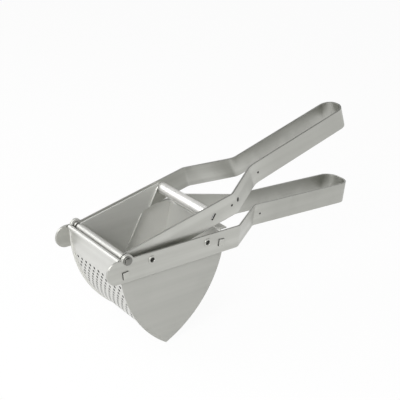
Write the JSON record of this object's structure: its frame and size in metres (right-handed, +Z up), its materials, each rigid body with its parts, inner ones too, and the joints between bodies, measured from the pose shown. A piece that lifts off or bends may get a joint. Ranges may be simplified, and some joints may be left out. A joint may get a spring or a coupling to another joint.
{
  "type": "potato ricer",
  "caption": "Steel potato ricer: a V-shaped basket with a perforated curved wall on a strap handle, and a hinged lever with a curved presser plate.",
  "frame": {"origin": "under the middle of the object's length, at the height of the basket's lowest edge", "axes": "+X from the hinge towards the grips, +Z up, +Y to the right-hand side plate"},
  "size_m": [0.381, 0.1076, 0.2115],
  "materials": {
    "sheet_steel": "satin stainless sheet",
    "strap_steel": "satin stainless strap with bright edges",
    "bright_steel": "semi-bright stainless"
  },
  "bodies": {
    "basket": {"side_plate_left": "sheet_steel", "side_plate_right": "sheet_steel", "sieve_wall": "sheet_steel", "rear_wall": "sheet_steel", "lower_handle": "strap_steel", "hinge_rod": "bright_steel", "rod_washer_left": "bright_steel", "rod_washer_right": "bright_steel", "rod_spacer_left": "bright_steel", "rod_spacer_right": "bright_steel", "basket_rivet_front_left": "bright_steel", "basket_rivet_front_right": "bright_steel", "basket_rivet_rear_left": "bright_steel", "basket_rivet_rear_right": "bright_steel"},
    "lever": {"upper_handle": "strap_steel", "presser_plate": "sheet_steel", "presser_cheek_left": "sheet_steel", "presser_cheek_right": "sheet_steel", "crossbar": "bright_steel"}
  },
  "joints": [
    {"name": "lever_hinge", "type": "hinge", "parent": "basket", "child": "lever", "pos_m": [-0.166, 0, 0.11497], "axis": [0, -1, 0], "range_deg": [0, 95]}
  ]
}
